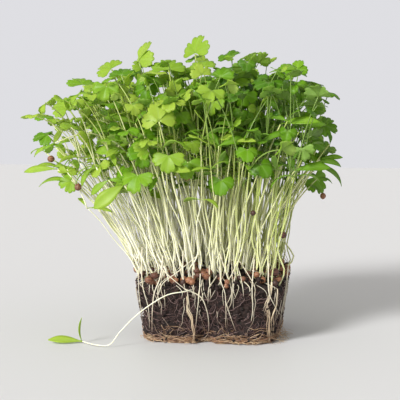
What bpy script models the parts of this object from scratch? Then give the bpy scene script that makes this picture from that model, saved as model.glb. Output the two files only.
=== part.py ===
"""A plug of coriander microgreens, knocked out of its growing punnet and stood on its root mat.

Metres, +Z up, front towards -Y. The origin is on the surface, under the middle of the plug.
"""

import math

import bmesh
import bpy
from mathutils import Euler, Vector, noise

MM = 0.001
GAP = 0.35 * MM

# The plug keeps the punnet's shape: a square with round corners, narrower at the foot.
PLUG_BASE_HALF = 36.5 * MM
PLUG_TOP_HALF = 42.0 * MM
PLUG_HEIGHT = 34.0 * MM
PLUG_SQUARENESS = 6.0
MAT_THICKNESS = 2.4 * MM
CRUMB = 0.7 * MM

# The cleft that splits the front foot of the plug into two lobes.
CLEFT_X = -1.0 * MM
CLEFT_WIDTH = 5.0 * MM
CLEFT_DEPTH = 5.0 * MM
CLEFT_HEIGHT = 15.0 * MM

STEM_FOOT_RADIUS = 0.62 * MM
STEM_TIP_RADIUS = 0.42 * MM
STEM_POINTS = 11
STEM_FAN = 0.44
BLADE_THICKNESS = 0.5 * MM
BLADE_HEEL = 0.2
ROOT_RADIUS = 0.45 * MM
ROOT_OFFSET = 1.8 * MM
HUSK_RADIUS = 1.9 * MM

STEM_GREEN = (0.62, 0.70, 0.30)
LEAF_GREEN = (0.16, 0.36, 0.05)
SOIL_BROWN = (0.022, 0.014, 0.012)
ROOT_CREAM = (0.66, 0.60, 0.44)
MAT_GOLD = (0.34, 0.21, 0.09)
HUSK_BROWN = (0.25, 0.10, 0.045)

# One seedling a row: tip of its stem in mm, kind of leaf, length of the leaf in mm,
# then the way the leaf points: heading from +X towards +Y, and pitch above the level.
SEEDLINGS = [
    ((-93, -21, 114), "trefoil", 14, 185, -5),
    ((-80, -26, 130), "fan", 13, 165, 25),
    ((-76, -4, 142), "fan", 15, 120, 35),
    ((-62, 12, 151), "fan", 12, 150, 20),
    ((-42, -11, 156), "trefoil", 13, 95, 70),
    ((-24, -18, 151), "fan", 14, 100, 45),
    ((-12, 4, 160), "fan", 16, 60, 72),
    ((12, -19, 146), "fan", 16, 40, 20),
    ((37, -6, 150), "trefoil", 14, 30, 30),
    ((45, 22, 150), "trefoil", 11, 70, 65),
    ((53, -14, 128), "fan", 13, 350, 10),
    ((60, 4, 100), "oval", 11, 10, 12),
    ((56, 20, 88), "fan", 13, 0, -50),
    ((-24, -55, 124), "trefoil", 13, 100, 75),
    ((-18, -61, 106), "fan", 13, 270, -60),
    ((-44, -50, 89), "oval", 17, 215, -30),
    ((9, -49, 92), "trefoil", 9, 270, -60),
    ((-84, -36, 96), "oval", 20, 185, -5),
    ((40, -37, 122), "oval", 22, 335, 15),
    ((-34, 47, 140), "fan", 14, 110, 30),
    ((6, 52, 146), "trefoil", 13, 90, 35),
    ((38, 44, 130), "fan", 14, 50, 15),
]

# Root strands: the way each faces out of the plug in degrees, and its depth below the top.
ROOT_STRANDS = [(-113, 3), (-83, 1), (-56, 5), (-4, 2), (92, 3), (178, 2)]

# Empty seed husks lying on the soil, in mm from the middle.
HUSKS = [(-33, -30), (-13, -37), (22, -35), (35, 9), (-6, 33)]

# The seedling that hangs out of the front of the plug and trails on the surface, in mm.
TRAIL = [
    (-12, -47, 30),
    (-22, -49, 28.5),
    (-36, -50, 19),
    (-46, -51, 9),
    (-52, -53, 1.6),
    (-60, -52, 1.1),
    (-69, -44, 1.1),
]
TRAIL_RADIUS = 0.6 * MM


def clear_scene():
    for obj in list(bpy.data.objects):
        bpy.data.objects.remove(obj, do_unlink=True)


def material(name, colour, roughness):
    finish = bpy.data.materials.new(name)
    finish.use_nodes = True
    shader = finish.node_tree.nodes["Principled BSDF"]
    shader.inputs["Base Color"].default_value = (*colour, 1.0)
    shader.inputs["Roughness"].default_value = roughness
    shader.inputs["Metallic"].default_value = 0.0
    return finish


def add_mesh(name, mesh, finish):
    obj = bpy.data.objects.new(name, mesh)
    bpy.context.scene.collection.objects.link(obj)
    mesh.materials.append(finish)
    mesh.shade_smooth()
    return obj


def plug_radius(angle, half):
    """Distance from the middle to the side of a round-cornered square."""
    corner = abs(math.cos(angle)) ** PLUG_SQUARENESS + abs(math.sin(angle)) ** PLUG_SQUARENESS
    return half / corner ** (1 / PLUG_SQUARENESS)


def plug_half(z):
    return PLUG_BASE_HALF + (PLUG_TOP_HALF - PLUG_BASE_HALF) * z / PLUG_HEIGHT


def soil_top(x, y):
    """Height of the soil under a point: it swells a little and falls off at the rim."""
    swell = noise.noise(Vector((x, y, 0)) * 60) * 1.2 * MM
    reach = Vector((x, y)).length / plug_radius(math.atan2(y, x), PLUG_TOP_HALF)
    return PLUG_HEIGHT + swell - 2.0 * MM * min(reach, 1.0) ** 6


def cleft(x, y, z):
    """How far the cleft pushes a point of the front wall inwards."""
    if y > 0 or z > CLEFT_HEIGHT:
        return 0.0
    across = min(abs(x - CLEFT_X) / CLEFT_WIDTH, 1.0)
    return CLEFT_DEPTH * (1 - across**2) * (1 - z / CLEFT_HEIGHT)


def ring(bm, half, height, sides, rough):
    """One level of the plug's wall; height is a number or a function of x and y."""
    points = []
    for step in range(sides):
        angle = 2 * math.pi * step / sides
        reach = plug_radius(angle, half)
        x, y = reach * math.cos(angle), reach * math.sin(angle)
        z = height(x, y) if callable(height) else height
        shift = noise.noise(Vector((x, y, z)) * 180) * rough
        x, y = x + shift * math.cos(angle), y + shift * math.sin(angle)
        points.append(bm.verts.new((x, y + cleft(x, y, z), z)))
    return points


def close_rings(bm, rings):
    for lower, upper in zip(rings, rings[1:]):
        for step in range(len(lower)):
            after = (step + 1) % len(lower)
            bm.faces.new((lower[step], lower[after], upper[after], upper[step]))
    bm.faces.new(list(reversed(rings[0])))


def make_soil_block(finish):
    bm = bmesh.new()
    sides = 56
    foot = MAT_THICKNESS + GAP
    levels = [foot, 8 * MM, 14 * MM, 20 * MM, 26 * MM, 30.5 * MM]
    rings = [ring(bm, plug_half(z), z, sides, CRUMB) for z in levels]
    for inset in (1.2, 5, 14, 26):
        rings.append(ring(bm, PLUG_TOP_HALF - inset * MM, soil_top, sides, 0.4 * CRUMB))
    close_rings(bm, rings)
    crown = bm.verts.new((0, 0, soil_top(0, 0)))
    for step in range(sides):
        bm.faces.new((rings[-1][step], rings[-1][(step + 1) % sides], crown))
    mesh = bpy.data.meshes.new("soil_block")
    bm.to_mesh(mesh)
    bm.free()
    add_mesh("soil_block", mesh, finish)


def make_root_mat(finish):
    """The felt of roots under the plug, pressed flat by the punnet's floor."""
    bm = bmesh.new()
    sides = 56
    rings = [ring(bm, PLUG_BASE_HALF - 1.2 * MM, 0, sides, 0.3 * CRUMB)]
    rings.append(ring(bm, PLUG_BASE_HALF + 0.4 * MM, 0.9 * MM, sides, CRUMB))
    rings.append(ring(bm, PLUG_BASE_HALF - 0.6 * MM, MAT_THICKNESS, sides, 0.3 * CRUMB))
    close_rings(bm, rings)
    bm.faces.new(rings[-1])
    mesh = bpy.data.meshes.new("root_mat")
    bm.to_mesh(mesh)
    bm.free()
    add_mesh("root_mat", mesh, finish)


def bezier(points, count):
    """Points along a cubic Bezier curve through four control points."""
    found = []
    for step in range(count):
        t = step / (count - 1)
        weights = ((1 - t) ** 3, 3 * t * (1 - t) ** 2, 3 * t * t * (1 - t), t**3)
        found.append(sum((w * p for w, p in zip(weights, points)), Vector()))
    return found


def smooth_route(points, per_span):
    """A Catmull-Rom curve through the points."""
    found = []
    for i in range(len(points) - 1):
        before = points[max(i - 1, 0)]
        here, after = points[i], points[i + 1]
        beyond = points[min(i + 2, len(points) - 1)]
        for step in range(per_span):
            t = step / per_span
            bend = (2 * before - 5 * here + 4 * after - beyond) * t * t
            twist = (3 * here - before - 3 * after + beyond) * t**3
            found.append((2 * here + (after - before) * t + bend + twist) / 2)
    return found + [points[-1]]


def add_tube(name, points, foot_radius, tip_radius, finish):
    """A tapering round strand along the points, closed at both ends."""
    curve = bpy.data.curves.new(name, "CURVE")
    curve.dimensions = "3D"
    curve.bevel_depth = foot_radius
    curve.bevel_resolution = 1
    curve.use_fill_caps = True
    spline = curve.splines.new("POLY")
    spline.points.add(len(points) - 1)
    for step, point in enumerate(points):
        share = step / (len(points) - 1)
        spline.points[step].co = (*point, 1)
        spline.points[step].radius = 1 + (tip_radius / foot_radius - 1) * share
    spline.use_smooth = True
    obj = bpy.data.objects.new(name, curve)
    bpy.context.scene.collection.objects.link(obj)
    curve.materials.append(finish)


def make_root_strand(name, facing, below, finish):
    """A root that has grown down the punnet's wall, just outside the soil."""
    points = []
    steps = 12
    for step in range(steps + 1):
        drop = step / steps
        z = PLUG_HEIGHT - below * MM - (PLUG_HEIGHT - below * MM - 2.2 * MM) * drop
        angle = math.radians(facing + 3.0 * math.sin(5 * drop + facing))
        reach = plug_radius(angle, plug_half(z) + ROOT_OFFSET)
        points.append(Vector((reach * math.cos(angle), reach * math.sin(angle), z)))
    add_tube(name, points, ROOT_RADIUS, 0.7 * ROOT_RADIUS, finish)


def make_husk(name, place, finish):
    """Half of a coriander seed's empty shell: a ribbed, slightly flattened ball."""
    bm = bmesh.new()
    bmesh.ops.create_uvsphere(bm, u_segments=12, v_segments=7, radius=HUSK_RADIUS)
    for vert in bm.verts:
        angle = math.atan2(vert.co.y, vert.co.x)
        rib = 1 + 0.05 * math.cos(6 * angle)
        vert.co = Vector((vert.co.x * rib, vert.co.y * rib, vert.co.z * 0.82))
    mesh = bpy.data.meshes.new(name)
    bm.to_mesh(mesh)
    bm.free()
    obj = add_mesh(name, mesh, finish)
    x, y = place[0] * MM, place[1] * MM
    ground = max(soil_top(x + dx, y + dy) for dx in (-0.002, 0, 0.002) for dy in (-0.002, 0, 0.002))
    obj.location = (x, y, ground + HUSK_RADIUS + GAP)


def stem_route(tip):
    """From its foot in the soil a stem leans outwards, more the nearer it stands to the rim."""
    tip = Vector(tip) * MM
    limit = PLUG_TOP_HALF - 5 * MM
    foot_x = max(-limit, min(limit, tip.x * STEM_FAN))
    foot_y = max(-limit, min(limit, tip.y * STEM_FAN * 1.3))
    foot = Vector((foot_x, foot_y, soil_top(foot_x, foot_y) + 1.2 * MM))
    rise = tip - foot
    first = foot + Vector((0.22 * rise.x, 0.22 * rise.y, 0.36 * rise.z))
    second = foot + Vector((0.62 * rise.x, 0.62 * rise.y, 0.74 * rise.z))
    return bezier((foot, first, second, tip), STEM_POINTS)


def fan_reach(turn):
    """Edge of a true leaf seen from its stalk: three round lobes across 236 degrees."""
    spread = math.radians(118)
    if abs(turn) > spread:
        return 0.16
    place = 1.5 * turn / spread
    lobe = 1 - 0.36 * (2 * abs(place - round(place))) ** 4
    return lobe * (1 - 0.12 * (turn / spread) ** 2)


def trefoil_reach(turn):
    """Edge of a three-part leaf seen from the point where its leaflets meet."""
    place = turn / math.radians(74)
    if abs(place) > 1.5:
        return 0.16
    side = 0.86 if abs(place) > 0.5 else 1.0
    return side * max(0.2, 1 - 0.8 * (2 * abs(place - round(place))) ** 3)


def round_blade(bm, reach, length, droop):
    """A blade of rings about its stalk, cupped and drooping towards its edge."""
    sides = 32
    centre = bm.verts.new((0, 0, 0))
    rings = []
    for share in (0.55, 1.0):
        points = []
        for step in range(sides):
            turn = 2 * math.pi * (step + 0.5) / sides - math.pi
            far = reach(turn) * length * share
            x, y = far * math.sin(turn), far * math.cos(turn)
            points.append(bm.verts.new((x, y, -droop * (x * x + y * y) / length)))
        rings.append(points)
    for step in range(sides):
        after = (step + 1) % sides
        bm.faces.new((centre, rings[0][after], rings[0][step]))
        bm.faces.new((rings[0][step], rings[0][after], rings[1][after], rings[1][step]))


def long_blade(bm, length, width, droop):
    """A seed leaf: a long ellipse on a short stalk, arching along its length."""
    stations = 11
    across = (-1, 0, 1)
    rows = []
    for step in range(stations + 1):
        share = step / stations
        half = width / 2 * max(0.14, math.sin(math.pi * share**1.3) ** 0.8)
        y = share * length
        z = -droop * y * y / length
        rows.append([bm.verts.new((side * half, y, z + 0.12 * abs(side) * half)) for side in across])
    for row, after in zip(rows, rows[1:]):
        for i in range(len(across) - 1):
            bm.faces.new((row[i], row[i + 1], after[i + 1], after[i]))


def make_blade(name, base, kind, length, heading, pitch, finish):
    bm = bmesh.new()
    if kind == "fan":
        round_blade(bm, fan_reach, length, 0.25)
    elif kind == "trefoil":
        round_blade(bm, trefoil_reach, length, 0.2)
    else:
        long_blade(bm, length, 0.36 * length, 0.35 if kind == "oval" else 0.0)
    bmesh.ops.recalc_face_normals(bm, faces=bm.faces)
    mesh = bpy.data.meshes.new(name)
    bm.to_mesh(mesh)
    bm.free()
    obj = add_mesh(name, mesh, finish)
    obj.rotation_euler = Euler((math.radians(pitch), 0, math.radians(heading - 90)))
    obj.location = base
    solid = obj.modifiers.new("thickness", "SOLIDIFY")
    solid.thickness = BLADE_THICKNESS
    solid.offset = 0.0


def make_seedling(number, row, stem_finish, leaf_finish):
    tip, kind, length, heading, pitch = row
    route = stem_route(tip)
    add_tube(f"stem_{number:02d}", route, STEM_FOOT_RADIUS, STEM_TIP_RADIUS, stem_finish)
    away = (route[-1] - route[-2]).normalized()
    stub = BLADE_HEEL * length * MM * max(0.0, math.sin(math.radians(pitch)))
    base = route[-1] + away * (STEM_TIP_RADIUS + BLADE_THICKNESS + GAP + stub)
    make_blade(f"leaf_{number:02d}", base, kind, length * MM, heading, pitch, leaf_finish)


def make_trailing_seedling(stem_finish, leaf_finish):
    route = smooth_route([Vector(point) * MM for point in TRAIL], 4)
    add_tube("trailing_stem", route, TRAIL_RADIUS, TRAIL_RADIUS, stem_finish)
    left, above = route[-1] + Vector((-1.4, 0, 0)) * MM, route[-1] + Vector((-0.4, 1.4, 1.2)) * MM
    make_blade("trailing_leaf_flat", left, "flat", 17 * MM, 196, -1.5, leaf_finish)
    make_blade("trailing_leaf_raised", above, "oval", 13 * MM, 150, 60, leaf_finish)


def main():
    clear_scene()
    stem = material("stem", STEM_GREEN, 0.4)
    leaf = material("leaf", LEAF_GREEN, 0.42)
    soil = material("soil", SOIL_BROWN, 0.95)
    root = material("root", ROOT_CREAM, 0.6)
    mat = material("root_felt", MAT_GOLD, 0.85)
    husk = material("husk", HUSK_BROWN, 0.7)
    make_soil_block(soil)
    make_root_mat(mat)
    for number, (facing, below) in enumerate(ROOT_STRANDS, 1):
        make_root_strand(f"root_{number}", facing, below, root)
    for number, place in enumerate(HUSKS, 1):
        make_husk(f"husk_{number}", place, husk)
    for number, row in enumerate(SEEDLINGS, 1):
        make_seedling(number, row, stem, leaf)
    make_trailing_seedling(stem, leaf)


main()
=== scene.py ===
import random
from math import atan2, copysign, cos, degrees, exp, hypot, pi, radians, sin, sqrt

import bpy
from mathutils import Euler, Matrix, Vector, noise


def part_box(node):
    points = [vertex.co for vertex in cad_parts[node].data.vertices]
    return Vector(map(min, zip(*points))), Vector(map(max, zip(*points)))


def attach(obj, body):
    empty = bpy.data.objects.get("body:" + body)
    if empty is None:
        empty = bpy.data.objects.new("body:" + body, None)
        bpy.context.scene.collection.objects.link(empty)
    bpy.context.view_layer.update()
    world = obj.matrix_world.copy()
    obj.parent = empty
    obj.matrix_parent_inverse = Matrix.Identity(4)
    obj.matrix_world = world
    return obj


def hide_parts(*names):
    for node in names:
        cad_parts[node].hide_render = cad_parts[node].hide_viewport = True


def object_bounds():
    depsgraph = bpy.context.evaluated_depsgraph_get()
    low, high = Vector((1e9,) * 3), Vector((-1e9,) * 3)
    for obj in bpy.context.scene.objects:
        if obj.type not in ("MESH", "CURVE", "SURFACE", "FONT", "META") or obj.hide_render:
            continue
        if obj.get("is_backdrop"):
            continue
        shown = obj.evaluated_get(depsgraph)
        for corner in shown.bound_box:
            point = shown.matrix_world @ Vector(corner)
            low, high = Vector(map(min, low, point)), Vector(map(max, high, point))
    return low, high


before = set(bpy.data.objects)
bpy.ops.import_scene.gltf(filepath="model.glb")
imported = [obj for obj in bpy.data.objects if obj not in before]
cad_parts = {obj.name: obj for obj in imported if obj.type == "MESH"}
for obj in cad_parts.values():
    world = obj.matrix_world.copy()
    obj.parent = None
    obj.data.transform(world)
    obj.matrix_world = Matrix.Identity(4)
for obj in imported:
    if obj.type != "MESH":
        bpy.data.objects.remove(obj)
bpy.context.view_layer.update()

# Soil block. Moist peat that the growing punnet pressed into a square with round corners,
# narrower at the foot. Crumbs and fibres show all over it, and the front foot has split
# into two lobes.
MM = 0.001
FULL_TURN = 2 * pi
SOIL_AROUND = 380
RING_ANGLES = [FULL_TURN * step / SOIL_AROUND for step in range(SOIL_AROUND)]
SOIL_STEPS = 44
SOIL_SQUARENESS = 6.0
SOIL_INSETS = (0.2, 0.9, 2.0, 3.4, 5, 7, 9.5, 12, 15, 18, 21.5, 25, 29, 33, 37)
MOUND_HIGH = 7 * MM
CLEFT_HALF = 5.5 * MM
CLEFT_DEEP = 6.5 * MM
CLEFT_HIGH = 16 * MM
SOIL_DARK = (0.0050, 0.0028, 0.0024, 1)
SOIL_BROWN = (0.026, 0.013, 0.010, 1)
SOIL_PALE = (0.085, 0.042, 0.033, 1)
soil_low, soil_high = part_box("soil_block")
mat_low, mat_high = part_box("root_mat")
TOP_HALF = (soil_high.x - soil_low.x) / 2
BASE_HALF = (mat_high.x - mat_low.x) / 2
SOIL_HEIGHT = soil_high.z - 1.0 * MM


def link_nodes(finish, pairs):
    """Joins outputs to inputs: each pair is (node, socket, node, socket)."""
    for source, out, target, into in pairs:
        finish.node_tree.links.new(source.outputs[out], target.inputs[into])


def new_finish(name, **sockets):
    """A finish, with its shader's sockets set by name: an underscore stands for a space."""
    finish = bpy.data.materials.new(name)
    finish.use_nodes = True
    shader = finish.node_tree.nodes["Principled BSDF"]
    for socket, value in sockets.items():
        shader.inputs[socket.replace("_", " ")].default_value = value
    return finish, shader


def add_node(finish, kind, **values):
    """A shader node, with its sockets or its properties set by name."""
    node = finish.node_tree.nodes.new("ShaderNode" + kind)
    for key, value in values.items():
        if key in node.inputs:
            node.inputs[key].default_value = value
        else:
            setattr(node, key, value)
    return node


def colour_ramp(finish, stops):
    ramp = add_node(finish, "ValToRGB")
    steps = ramp.color_ramp.elements
    while len(steps) < len(stops):
        steps.new(0.5)
    for step, (place, colour) in zip(steps, stops):
        step.position = place
        step.color = colour
    return ramp


def grain(finish, scale, detail, **values):
    """A noise that is fixed to the piece."""
    place = add_node(finish, "TexCoord")
    field = add_node(finish, "TexNoise", Scale=scale, Detail=detail, **values)
    link_nodes(finish, [(place, "Object", field, "Vector")])
    return field


def emboss(finish, shader, field, strength, distance):
    """Fine relief on the surface, where the noise is high."""
    bump = add_node(finish, "Bump", Strength=strength, Distance=distance)
    link_nodes(finish, [(field, "Fac", bump, "Height"), (bump, "Normal", shader, "Normal")])


def soil_finish():
    """Damp peat: near-black hollows, brown crumbs and a few pale fibre ends."""
    finish, shader = new_finish("damp_peat", Roughness=0.9)
    ramp = colour_ramp(finish, [(0.38, SOIL_DARK), (0.58, SOIL_BROWN), (0.78, SOIL_PALE)])
    link_nodes(finish, [
        (grain(finish, 420.0, 5.0, Roughness=0.7), "Fac", ramp, "Fac"),
        (ramp, "Color", shader, "Base Color"),
    ])
    emboss(finish, shader, grain(finish, 1500.0, 3.0), 0.7, 0.0006)
    return finish


def put_in_scene(name, data):
    made = bpy.data.objects.new(name, data)
    bpy.context.scene.collection.objects.link(made)
    return made


class Growth:
    """Points and faces of one piece as it grows, with the marks its finish reads."""

    def __init__(self):
        self.points = []
        self.faces = []
        self.marks = {"shade": [], "along": [], "under": [], "vein": []}

    def add(self, point, shade=0.5, along=0.0, under=0.0, vein=0.0):
        self.points.append(point)
        for name, value in (("shade", shade), ("along", along), ("under", under), ("vein", vein)):
            self.marks[name].append(value)
        return len(self.points) - 1

    def close_rings(self, rings):
        """Walls from each ring of points to the next, and a cap at both ends."""
        for lower, upper in zip(rings, rings[1:]):
            for step in range(len(lower)):
                after = (step + 1) % len(lower)
                self.faces.append((lower[step], lower[after], upper[after], upper[step]))
        self.faces += [tuple(reversed(rings[0])), tuple(rings[-1])]

    def piece(self, name, finish, slot, stands_for=()):
        mesh = bpy.data.meshes.new(name)
        mesh.from_pydata(self.points, [], self.faces)
        for mark, values in self.marks.items():
            mesh.attributes.new(mark, "FLOAT", "POINT").data.foreach_set("value", values)
        mesh.shade_smooth()
        mesh.materials.append(finish)
        piece = put_in_scene(name, mesh)
        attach(piece, "root")
        if stands_for:
            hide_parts(*stands_for)
        return piece


def block_radius(angle, half):
    corner = abs(cos(angle)) ** SOIL_SQUARENESS + abs(sin(angle)) ** SOIL_SQUARENESS
    return half / corner ** (1 / SOIL_SQUARENESS)


def block_half(z):
    return BASE_HALF + (TOP_HALF - BASE_HALF) * min(max(z / SOIL_HEIGHT, 0), 1)


def cleft_push(x, y, z):
    """How far the split in the front foot draws the wall inwards."""
    across = min(abs(x + 1.0 * MM) / CLEFT_HALF, 1.0)
    if y > 0 or z > CLEFT_HIGH:
        return 0.0
    return CLEFT_DEEP * (1 - across**2) * (1 - z / CLEFT_HIGH)


def crumble(point):
    """How far the soil stands out at a point: lumps, crumbs and grit together."""
    lumps = noise.noise(point * 90) * 1.6 * MM
    crumbs = (0.35 - noise.voronoi(point * 250)[0][0]) * 2.6 * MM
    grit = noise.noise(point * 700) * 0.45 * MM
    return lumps + crumbs + grit


def ground(x, y):
    """Height of the soil's top under a point."""
    reach = Vector((x, y)).length / block_radius(atan2(y, x), TOP_HALF)
    swell = noise.noise(Vector((x, y, 0)) * 60) * 1.2 * MM
    mound = MOUND_HIGH * (1 - min(reach, 1.0) ** 1.4)
    return SOIL_HEIGHT + swell + mound - 1.6 * MM * min(reach, 1.0) ** 6


def wall_point(angle, z, out=0.0):
    """A point on the block's side, out metres away from it."""
    reach = block_radius(angle, block_half(z)) + out
    x, y = reach * cos(angle), reach * sin(angle)
    return Vector((x, y + cleft_push(x, y, z), z))


soil = Growth()
soil_levels = [0.3 * MM + step * (SOIL_HEIGHT - 3.5 * MM) / SOIL_STEPS for step in range(SOIL_STEPS + 1)]
soil_rings = []
for z in soil_levels:
    ring = []
    for angle in RING_ANGLES:
        tuck = -1.6 * MM * max(0.0, 1 - z / (3 * MM))
        base = wall_point(angle, z, tuck - 0.5 * MM)
        ring.append(soil.add(base + Vector((cos(angle), sin(angle), 0)) * crumble(base)))
    soil_rings.append(ring)
for inset in SOIL_INSETS:
    ring = []
    for angle in RING_ANGLES:
        reach = block_radius(angle, TOP_HALF) * (1 - inset * MM / TOP_HALF)
        x, y = reach * cos(angle), reach * sin(angle)
        z = ground(x, y) - 2.4 * MM * exp(-inset / 1.6)
        ring.append(soil.add(Vector((x, y, z + crumble(Vector((x, y, z)))))))
    soil_rings.append(ring)
soil.close_rings(soil_rings)
peat = soil_finish()
soil.piece("peat_block", peat, "soil", ["soil_block"])

# Loose crumbs. Lumps of the same peat that cling to the block's sides and lie on its top,
# heaped towards its rim, where they broke off when the plug was drawn from the punnet.
CRUMB_COUNT = 620
RIM_CRUMB_COUNT = 420
CRUMB_BALL = [
    Vector((x, y, z)).normalized()
    for x, y, z in (
        (0, 0, 1), (0.9, 0, 0.4), (0.3, 0.85, 0.4), (-0.7, 0.5, 0.4), (-0.7, -0.5, 0.4), (0.3, -0.85, 0.4),
        (0.7, 0.5, -0.4), (-0.3, 0.85, -0.4), (-0.9, 0, -0.4), (-0.3, -0.85, -0.4), (0.7, -0.5, -0.4),
        (0, 0, -1),
    )
]
CRUMB_FACES = []
for i in range(5):
    j = (i + 1) % 5
    CRUMB_FACES += [(0, 1 + i, 1 + j), (1 + i, 6 + i, 1 + j), (1 + j, 6 + i, 6 + j), (11, 6 + j, 6 + i)]


def between(low, high):
    return chance.uniform(low, high)


def tumbled():
    """A turn to any side."""
    return Euler([between(0, 6.3) for _ in range(3)]).to_matrix()


def on_ground(angle, reach, above=0.0):
    """A point this far from the middle, above metres over the soil's top."""
    x, y = reach * cos(angle), reach * sin(angle)
    return Vector((x, y, ground(x, y) + above))


def add_crumb(growth, place, size):
    first = len(growth.points)
    turn = tumbled()
    stretch = Vector([between(0.65, 1.25) for _ in range(3)])
    for corner in CRUMB_BALL:
        bulge = between(0.75, 1.2) * size
        growth.add(place + turn @ (corner * stretch * bulge))
    growth.faces += [tuple(first + i for i in face) for face in CRUMB_FACES]


crumbs = Growth()
chance = random.Random(11)
for number in range(CRUMB_COUNT):
    size = between(0.5, 1.25) * MM
    if number % 4:
        spot = wall_point(between(0, FULL_TURN), between(1.5, 34) * MM, 0.2 * MM)
    else:
        angle, reach = between(0, FULL_TURN), TOP_HALF * sqrt(between(0.3, 0.98))
        spot = on_ground(angle, reach)
    add_crumb(crumbs, spot, size)
for number in range(RIM_CRUMB_COUNT):
    angle, reach = between(0, FULL_TURN), between(0.4, 0.99)
    heap = (between(0, 1) ** 2 * (4.5 + 4 * max(0, -cos(angle)) ** 4) - 0.5) * MM
    spot = on_ground(angle, block_radius(angle, TOP_HALF) * reach, heap)
    add_crumb(crumbs, spot, between(0.9, 2.2) * MM)
crumbs.piece("peat_crumbs", peat, "soil")

# Root felt. Roots that reached the punnet's floor and matted there into a golden-brown,
# flat-bottomed felt; the block stands on it.
FELT_DARK = (0.055, 0.026, 0.011, 1)
FELT_GOLD = (0.34, 0.185, 0.09, 1)
FELT_PALE = (0.62, 0.46, 0.29, 1)
SHADED = (0.45, 0.40, 0.38, 1)
UNSHADED = (1, 1, 1, 1)
FELT_RINGS = ((0, -1.8), (0.3, -0.6), (1.1, 0.2), (2.0, -0.3), (2.7, -2.0))


def read_mark(finish, mark):
    return add_node(finish, "Attribute", attribute_name=mark)


def scaled(finish, factor, operation="MULTIPLY_ADD"):
    """First input times the factor; a multiply-add then adds its third."""
    node = add_node(finish, "Math", operation=operation)
    node.inputs[1].default_value = factor
    return node


def root_finish(name, low, middle, high):
    """Living root: coloured by its mark along, mottled, with a soft moist sheen."""
    finish, shader = new_finish(
        name, Roughness=0.5, Subsurface_Weight=0.15, Subsurface_Radius=(1.0, 0.8, 0.5),
        Subsurface_Scale=0.0006,
    )
    wander = scaled(finish, 0.55)
    ramp = colour_ramp(finish, [(0.15, low), (0.5, middle), (0.85, high)])
    dull = add_node(finish, "Mix", data_type="RGBA", blend_type="MULTIPLY", Factor=1.0)
    tone = colour_ramp(finish, [(0.0, SHADED), (1.0, UNSHADED)])
    link_nodes(finish, [
        (grain(finish, 300.0, 3.0), "Fac", wander, 0),
        (read_mark(finish, "along"), "Fac", wander, 2),
        (wander, "Value", ramp, "Fac"),
        (read_mark(finish, "shade"), "Fac", tone, "Fac"),
        (ramp, "Color", dull, "A"),
        (tone, "Color", dull, "B"),
        (dull, "Result", shader, "Base Color"),
    ])
    return finish


def add_strand(growth, line, radius, sides, shade, taper, along=(0.0, 1.0)):
    """A round strand along the line, tapering to its end and closed at both ends."""
    first = len(growth.points)
    last = len(line) - 1
    side = None
    for step, point in enumerate(line):
        ahead = (line[min(step + 1, last)] - line[max(step - 1, 0)]).normalized()
        if side is None:
            side = ahead.orthogonal().normalized()
        side = (side - ahead * side.dot(ahead)).normalized()
        up = ahead.cross(side)
        share = step / last
        reach = radius * (1 + (taper - 1) * share)
        mark = along[0] + (along[1] - along[0]) * share
        for corner in range(sides):
            turn = FULL_TURN * corner / sides
            growth.add(point + (side * cos(turn) + up * sin(turn)) * reach, shade, mark)
    for step in range(last):
        for corner in range(sides):
            a, b = first + step * sides + corner, first + step * sides + (corner + 1) % sides
            growth.faces.append((a, b, b + sides, a + sides))
    start = growth.add(line[0], shade, along[0])
    end = growth.add(line[-1], shade, along[1])
    for corner in range(sides):
        after = (corner + 1) % sides
        growth.faces.append((start, first + after, first + corner))
        top = first + last * sides
        growth.faces.append((end, top + corner, top + after))


felt = Growth()
chance = random.Random(5)
felt_rings = []
for z, out in FELT_RINGS:
    ring = []
    for angle in RING_ANGLES:
        spot = wall_point(angle, z * MM, out * MM)
        swell = noise.noise(spot * 260) * 0.7 * MM + noise.noise(spot * 900) * 0.35 * MM
        lift = 0 if z == 0 else abs(noise.noise(spot * 130)) * 1.0 * MM
        spot += Vector((cos(angle) * swell, sin(angle) * swell, lift))
        ring.append(felt.add(spot, 0.5 + 0.5 * noise.noise(spot * 500), 0.3))
    felt_rings.append(ring)
felt.close_rings(felt_rings)
felt_finish = root_finish("matted_root", FELT_DARK, FELT_GOLD, FELT_PALE)
felt.piece("root_felt", felt_finish, "root_felt", ["root_mat"])

# Foot fringe. Single roots at the edge of the felt, bent round the foot of the block, with
# a few loose ends that curl out over the surface, most of them at the front and right.
FRINGE_COUNT = 230
CURL_COUNT = 26
RIGHT_WISP_COUNT = 34


def shares(count):
    """Places along a line, from 0 at its start to 1 at its end."""
    return [step / (count - 1) for step in range(count)]


fringe = Growth()
for number in range(FRINGE_COUNT):
    angle = between(0, FULL_TURN)
    run = radians(between(6, 26)) * chance.choice((-1, 1))
    z, out = between(0.5, 3.6) * MM, between(-0.6, 0.9) * MM
    rise, sway = between(-2.5, 3.5) * MM, between(0, 6.3)
    line = []
    for t in shares(12):
        height = max(0.35 * MM, z + rise * t + 0.9 * MM * sin(6 * t + sway))
        line.append(wall_point(angle + run * t, height, out + 0.5 * MM * sin(5 * t + sway)))
    add_strand(fringe, line, between(0.13, 0.3) * MM, 5, between(0.2, 1), 0.7, (0.1, 0.6))
for number in range(CURL_COUNT):
    angle = between(0, FULL_TURN) if number % 2 else radians(between(-115, -55))
    reach, curl, sway = between(2, 6.5) * MM, between(2, 6), between(0, 6.3)
    line = []
    for t in shares(12):
        height = 0.4 * MM + 1.4 * MM * sin(pi * t) * between(0.9, 1)
        side = 0.03 * sin(curl * t + sway)
        line.append(wall_point(angle + side, height, -1 * MM + reach * sin(2.2 * t)))
    add_strand(fringe, line, between(0.15, 0.26) * MM, 5, between(0.5, 1), 0.6, (0.3, 0.8))
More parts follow.
